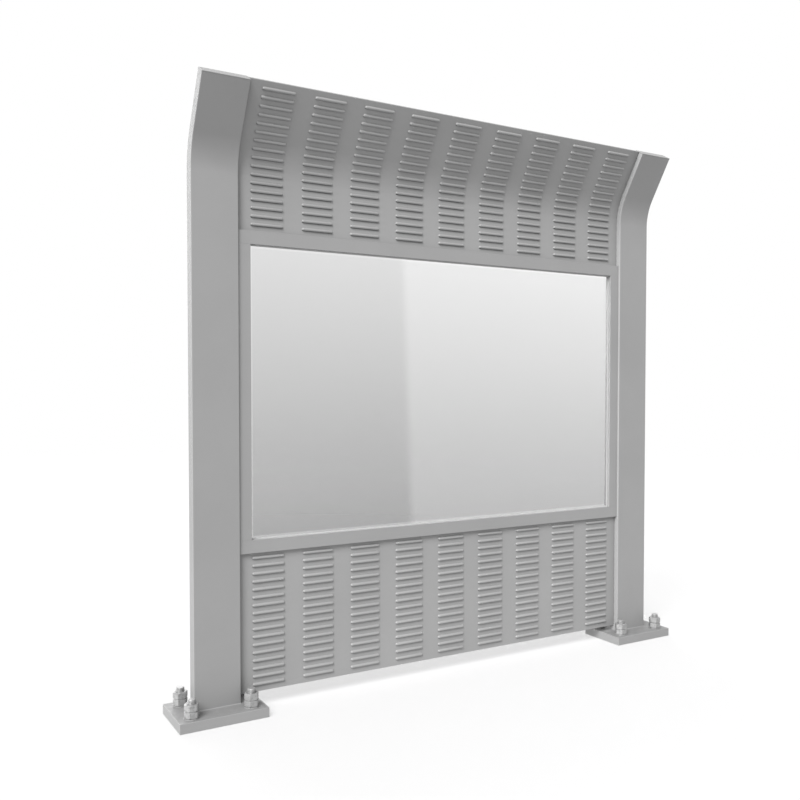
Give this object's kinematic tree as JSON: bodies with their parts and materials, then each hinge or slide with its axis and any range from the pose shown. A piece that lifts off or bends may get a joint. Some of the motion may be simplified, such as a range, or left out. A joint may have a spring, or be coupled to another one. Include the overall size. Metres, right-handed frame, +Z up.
{
  "type": "roadside noise barrier bay",
  "caption": "Noise barrier bay: leaning box posts on bolted base plates, louvred absorbing panels below and above a framed clear pane, the upper one bent with the posts.",
  "frame": {"origin": "centre of the left base plate's underside", "axes": "+X along the wall to the right post, +Y away from the road, +Z up; the top leans towards -Y, over the road side"},
  "size_m": [2.32, 0.2695, 2.2355],
  "materials": {
    "post_paint": "satin powder-coated galvanised steel, mid grey",
    "plate_paint": "satin powder-coated steel plate, mid grey",
    "zinc": "galvanised steel, dull light grey",
    "panel_paint": "satin powder-coated sheet, mid grey",
    "absorber": "dark glass-fleece-faced absorber board",
    "frame_paint": "satin powder-coated extruded section, mid grey",
    "gasket": "matt grey-black rubber",
    "pane": "clear acrylic, polished",
    "bracket_paint": "satin powder-coated steel angle, mid grey"
  },
  "bodies": {
    "root": {"left_post": "post_paint", "right_post": "post_paint", "left_post_cap": "post_paint", "right_post_cap": "post_paint", "left_base_plate": "plate_paint", "right_base_plate": "plate_paint", "left_anchor_studs": "zinc", "right_anchor_studs": "zinc", "left_washers": "zinc", "right_washers": "zinc", "left_lower_nuts": "zinc", "right_lower_nuts": "zinc", "left_upper_nuts": "zinc", "right_upper_nuts": "zinc", "lower_front_sheet": "panel_paint", "lower_back_sheet": "panel_paint", "lower_core": "absorber", "lower_bottom_channel": "panel_paint", "lower_top_channel": "panel_paint", "lower_left_channel": "panel_paint", "lower_right_channel": "panel_paint", "upper_front_sheet": "panel_paint", "upper_back_sheet": "panel_paint", "upper_core": "absorber", "upper_bottom_channel": "panel_paint", "upper_top_channel": "panel_paint", "upper_left_channel": "panel_paint", "upper_right_channel": "panel_paint", "frame_bottom_rail": "frame_paint", "frame_top_rail": "frame_paint", "frame_left_stile": "frame_paint", "frame_right_stile": "frame_paint", "glazing_gasket": "gasket", "clear_pane": "pane", "lower_left_angles": "bracket_paint", "lower_right_angles": "bracket_paint", "frame_left_angles": "bracket_paint", "frame_right_angles": "bracket_paint", "upper_left_angles": "bracket_paint", "upper_right_angles": "bracket_paint"}
  },
  "joints": []
}
